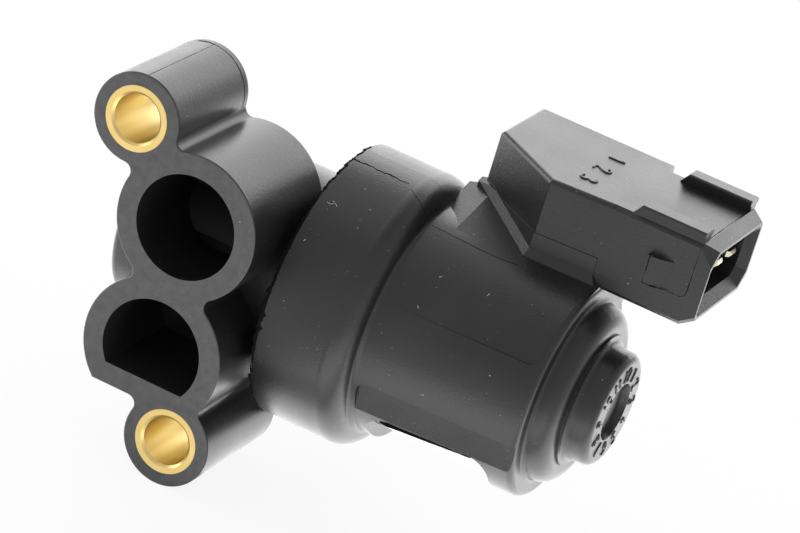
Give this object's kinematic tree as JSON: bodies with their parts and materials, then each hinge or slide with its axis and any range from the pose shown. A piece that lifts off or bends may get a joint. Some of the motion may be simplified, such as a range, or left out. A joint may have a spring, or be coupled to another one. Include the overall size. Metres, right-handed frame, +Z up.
{
  "type": "idle air control valve",
  "caption": "Rotary idle air control valve: black moulded body with round and flatted air ports, brass bolt bushes, motor barrel with collar and side connector.",
  "frame": {"origin": "midway between the two bolt holes, on the port face that meets the intake manifold", "axes": "+X along the motor axis towards its tail, the port face looks along -Y, +Z up from the flatted port to the round port"},
  "size_m": [0.0793, 0.0456, 0.0553],
  "materials": {
    "black_plastic": "fine satin moulding grain, glass-filled black",
    "bush_brass": "turned, slightly dull",
    "black_rubber": "matt moulded",
    "plate_aluminium": "die-cast, satin",
    "yoke_steel": "bright drawn",
    "core_steel": "stamped laminations",
    "spring_steel": "hardened, bright",
    "shaft_steel": "ground",
    "natural_plastic": "natural moulded",
    "magnet_ferrite": "sintered, ground",
    "slide_aluminium": "hard anodised, near black",
    "copper": "enamelled copper wire",
    "terminal_brass": "tin-flashed brass strip",
    "bearing_steel": "ground and polished",
    "cage_brass": "pressed"
  },
  "bodies": {
    "valve": {"valve_body": "black_plastic", "upper_mounting_bush": "bush_brass", "lower_mounting_bush": "bush_brass", "body_seal_ring": "black_rubber", "motor_housing": "black_plastic", "bearing_plate": "plate_aluminium", "shaft_seal": "black_rubber", "yoke_tube": "yoke_steel", "stator_core": "core_steel", "coil_bobbin_1": "natural_plastic", "coil_bobbin_2": "natural_plastic", "coil_bobbin_3": "natural_plastic", "coil_bobbin_4": "natural_plastic", "coil_winding_1": "copper", "coil_winding_2": "copper", "coil_winding_3": "copper", "coil_winding_4": "copper", "terminal_1": "terminal_brass", "terminal_2": "terminal_brass", "terminal_3": "terminal_brass", "front_bearing_outer_ring": "bearing_steel", "rear_bearing_outer_ring": "bearing_steel", "preload_washer": "spring_steel"},
    "rotor": {"rotor_shaft": "shaft_steel", "rotor_hub": "natural_plastic", "rotor_magnet": "magnet_ferrite", "rotary_slide": "slide_aluminium", "slide_clip": "spring_steel", "front_bearing_inner_ring": "bearing_steel", "rear_bearing_inner_ring": "bearing_steel"},
    "front_ball_set": {"front_bearing_balls": "bearing_steel", "front_bearing_cage": "cage_brass"},
    "rear_ball_set": {"rear_bearing_balls": "bearing_steel", "rear_bearing_cage": "cage_brass"}
  },
  "joints": [
    {"name": "rotor_turn", "type": "hinge", "parent": "valve", "child": "rotor", "pos_m": [0, 0.024, 0], "axis": [-1, 0, 0], "range_deg": [-14, 34]},
    {"name": "front_balls_roll", "type": "hinge", "parent": "valve", "child": "front_ball_set", "pos_m": [0, 0.024, 0], "axis": [-1, 0, 0], "range_deg": [-6, 14]},
    {"name": "rear_balls_roll", "type": "hinge", "parent": "valve", "child": "rear_ball_set", "pos_m": [0, 0.024, 0], "axis": [-1, 0, 0], "range_deg": [-6, 14]}
  ],
  "couplings": [
    {"joint": "front_balls_roll", "follows": "rotor_turn", "ratio": 0.389},
    {"joint": "rear_balls_roll", "follows": "rotor_turn", "ratio": 0.389}
  ]
}
